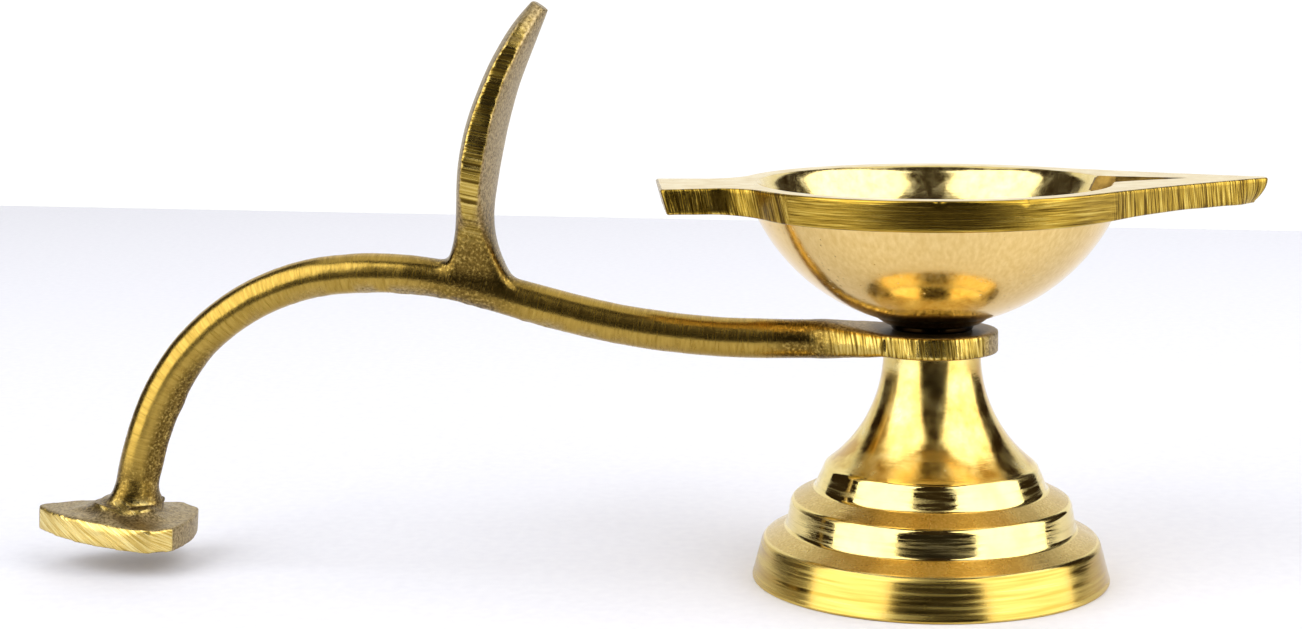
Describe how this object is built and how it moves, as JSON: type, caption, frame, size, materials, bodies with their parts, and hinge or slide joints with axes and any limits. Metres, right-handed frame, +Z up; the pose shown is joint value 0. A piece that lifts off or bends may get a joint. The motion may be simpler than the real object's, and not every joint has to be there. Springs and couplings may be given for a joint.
{
  "type": "diya oil lamp",
  "caption": "Brass diya oil lamp: a round cup with a tail and a grooved wick spout on a stepped turned pedestal, with a gooseneck handle, thumb rest and foot.",
  "frame": {"origin": "centre of the pedestal's foot ring, on its resting plane", "axes": "+Z up along the pedestal's axis, -X along the handle, the spout 7 degrees off +X towards +Y"},
  "size_m": [0.1533, 0.0474, 0.0708],
  "materials": {
    "turned_brass": "lathe-turned and polished",
    "cast_brass": "sand-cast, filed and brushed satin",
    "stud_brass": "machined thread",
    "bowl_brass": "turned cup, polished inside, filed edge"
  },
  "bodies": {
    "pedestal": {"pedestal": "turned_brass"},
    "handle": {"handle": "cast_brass"},
    "bowl": {"bowl": "bowl_brass", "threaded_stud": "stud_brass"}
  },
  "joints": [
    {"name": "handle_rise", "type": "slide", "parent": "pedestal", "child": "handle", "axis": [0, 0, 1], "range_m": [0, 0.0055]},
    {"name": "bowl_unscrew", "type": "hinge", "parent": "handle", "child": "bowl", "pos_m": [0, 0, 0.0305], "axis": [0, 0, 1], "range_deg": [0, 1980]}
  ],
  "couplings": [
    {"joint": "handle_rise", "follows": "bowl_unscrew", "m_per_rad": 0.00015915}
  ]
}
